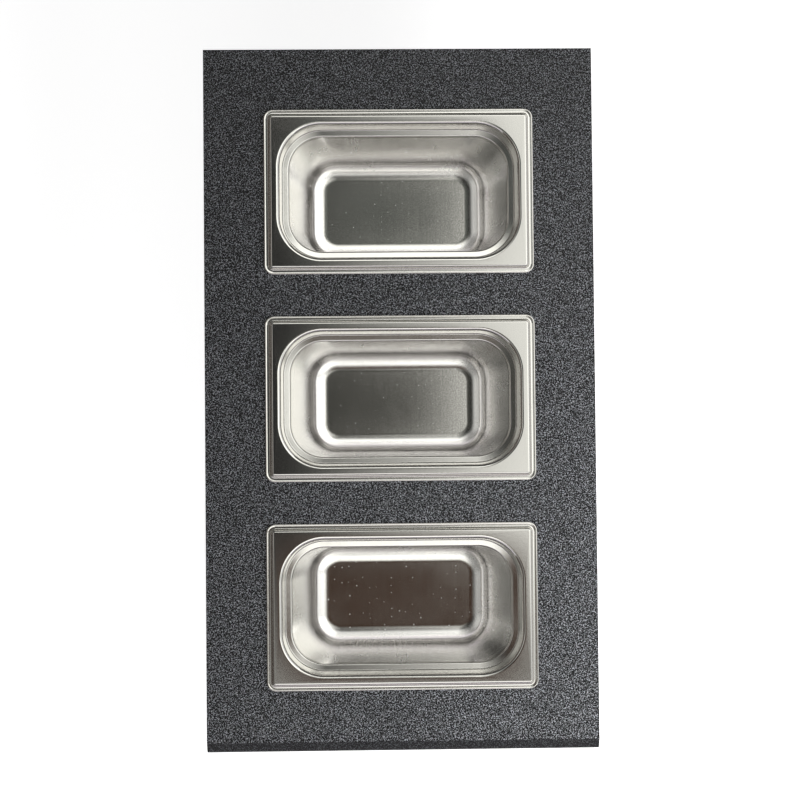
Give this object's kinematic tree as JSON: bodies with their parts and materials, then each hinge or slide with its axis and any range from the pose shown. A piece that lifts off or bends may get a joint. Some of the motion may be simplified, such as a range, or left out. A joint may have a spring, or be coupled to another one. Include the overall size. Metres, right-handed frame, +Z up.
{
  "type": "condiment tray",
  "caption": "Black folded steel panel with a row of lift-out stainless steel pans hanging by their rims in rounded cut-outs, for serving condiments.",
  "frame": {"origin": "middle of the tray in plan, in the plane of the panel's underside, which rests on the host", "axes": "+Y to the rear, away from the folded lip; +X to the right seen from the front; +Z up"},
  "size_m": [0.254, 0.4572, 0.1],
  "materials": {
    "powder_coat": "coarse textured black powder coat",
    "stainless_steel": "bright drawn stainless steel with a satin floor"
  },
  "bodies": {
    "panel": {"panel": "powder_coat"},
    "rear_pan": {"rear_pan": "stainless_steel"},
    "middle_pan": {"middle_pan": "stainless_steel"},
    "front_pan": {"front_pan": "stainless_steel"}
  },
  "joints": [
    {"name": "rear_pan_lift", "type": "slide", "parent": "panel", "child": "rear_pan", "axis": [0, 0, 1], "range_m": [0, 0.12]},
    {"name": "middle_pan_lift", "type": "slide", "parent": "panel", "child": "middle_pan", "axis": [0, 0, 1], "range_m": [0, 0.12]},
    {"name": "front_pan_lift", "type": "slide", "parent": "panel", "child": "front_pan", "axis": [0, 0, 1], "range_m": [0, 0.12]}
  ]
}
